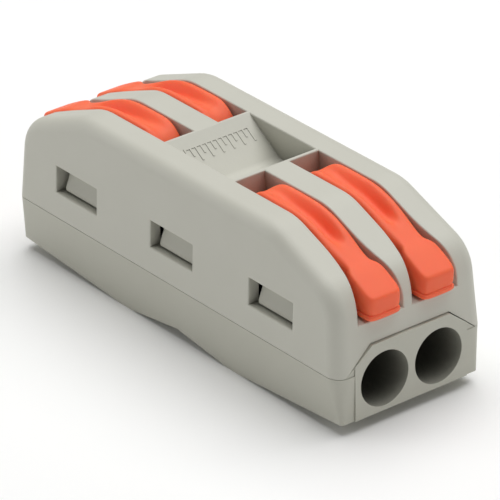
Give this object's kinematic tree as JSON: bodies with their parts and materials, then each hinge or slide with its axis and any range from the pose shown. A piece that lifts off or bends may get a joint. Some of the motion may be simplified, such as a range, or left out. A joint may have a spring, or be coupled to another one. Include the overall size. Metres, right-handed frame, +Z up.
{
  "type": "lever wire connector",
  "caption": "In-line splicing connector with snap-together grey shells, cage clamps on current bars and orange rocker levers that open the clamp of each wire entry.",
  "frame": {"origin": "centre of the footprint, on the surface the connector lies on", "axes": "+Z up, +X along the wires towards the front entries, +Y towards the left wire way"},
  "size_m": [0.0392, 0.0138, 0.0139],
  "materials": {
    "housing_plastic": "fine satin moulded polyamide, warm light grey",
    "base_plastic": "fine satin moulded polyamide, warm light grey",
    "lever_plastic": "satin-gloss moulded polyamide, orange red",
    "spring_steel": "bright rolled stainless spring strip",
    "tinned_copper": "matt tin plate on copper"
  },
  "bodies": {
    "housing": {"top_housing": "housing_plastic", "base_cover": "base_plastic", "busbar_left": "tinned_copper", "busbar_right": "tinned_copper", "clamp_spring_front_left": "spring_steel", "clamp_spring_front_right": "spring_steel", "clamp_spring_rear_left": "spring_steel", "clamp_spring_rear_right": "spring_steel"},
    "lever_front_left": {"lever_front_left": "lever_plastic"},
    "lever_front_right": {"lever_front_right": "lever_plastic"},
    "lever_rear_left": {"lever_rear_left": "lever_plastic"},
    "lever_rear_right": {"lever_rear_right": "lever_plastic"}
  },
  "joints": [
    {"name": "lever_front_left_hinge", "type": "hinge", "parent": "housing", "child": "lever_front_left", "pos_m": [0.0082, 0.0025, 0.0103], "axis": [0, -1, 0], "range_deg": [0, 95], "deforming": ["clamp_spring_front_left"]},
    {"name": "lever_front_right_hinge", "type": "hinge", "parent": "housing", "child": "lever_front_right", "pos_m": [0.0082, -0.0025, 0.0103], "axis": [0, -1, 0], "range_deg": [0, 95], "deforming": ["clamp_spring_front_right"]},
    {"name": "lever_rear_left_hinge", "type": "hinge", "parent": "housing", "child": "lever_rear_left", "pos_m": [-0.0082, 0.0025, 0.0103], "axis": [0, 1, 0], "range_deg": [0, 95], "deforming": ["clamp_spring_rear_left"]},
    {"name": "lever_rear_right_hinge", "type": "hinge", "parent": "housing", "child": "lever_rear_right", "pos_m": [-0.0082, -0.0025, 0.0103], "axis": [0, 1, 0], "range_deg": [0, 95], "deforming": ["clamp_spring_rear_right"]}
  ]
}
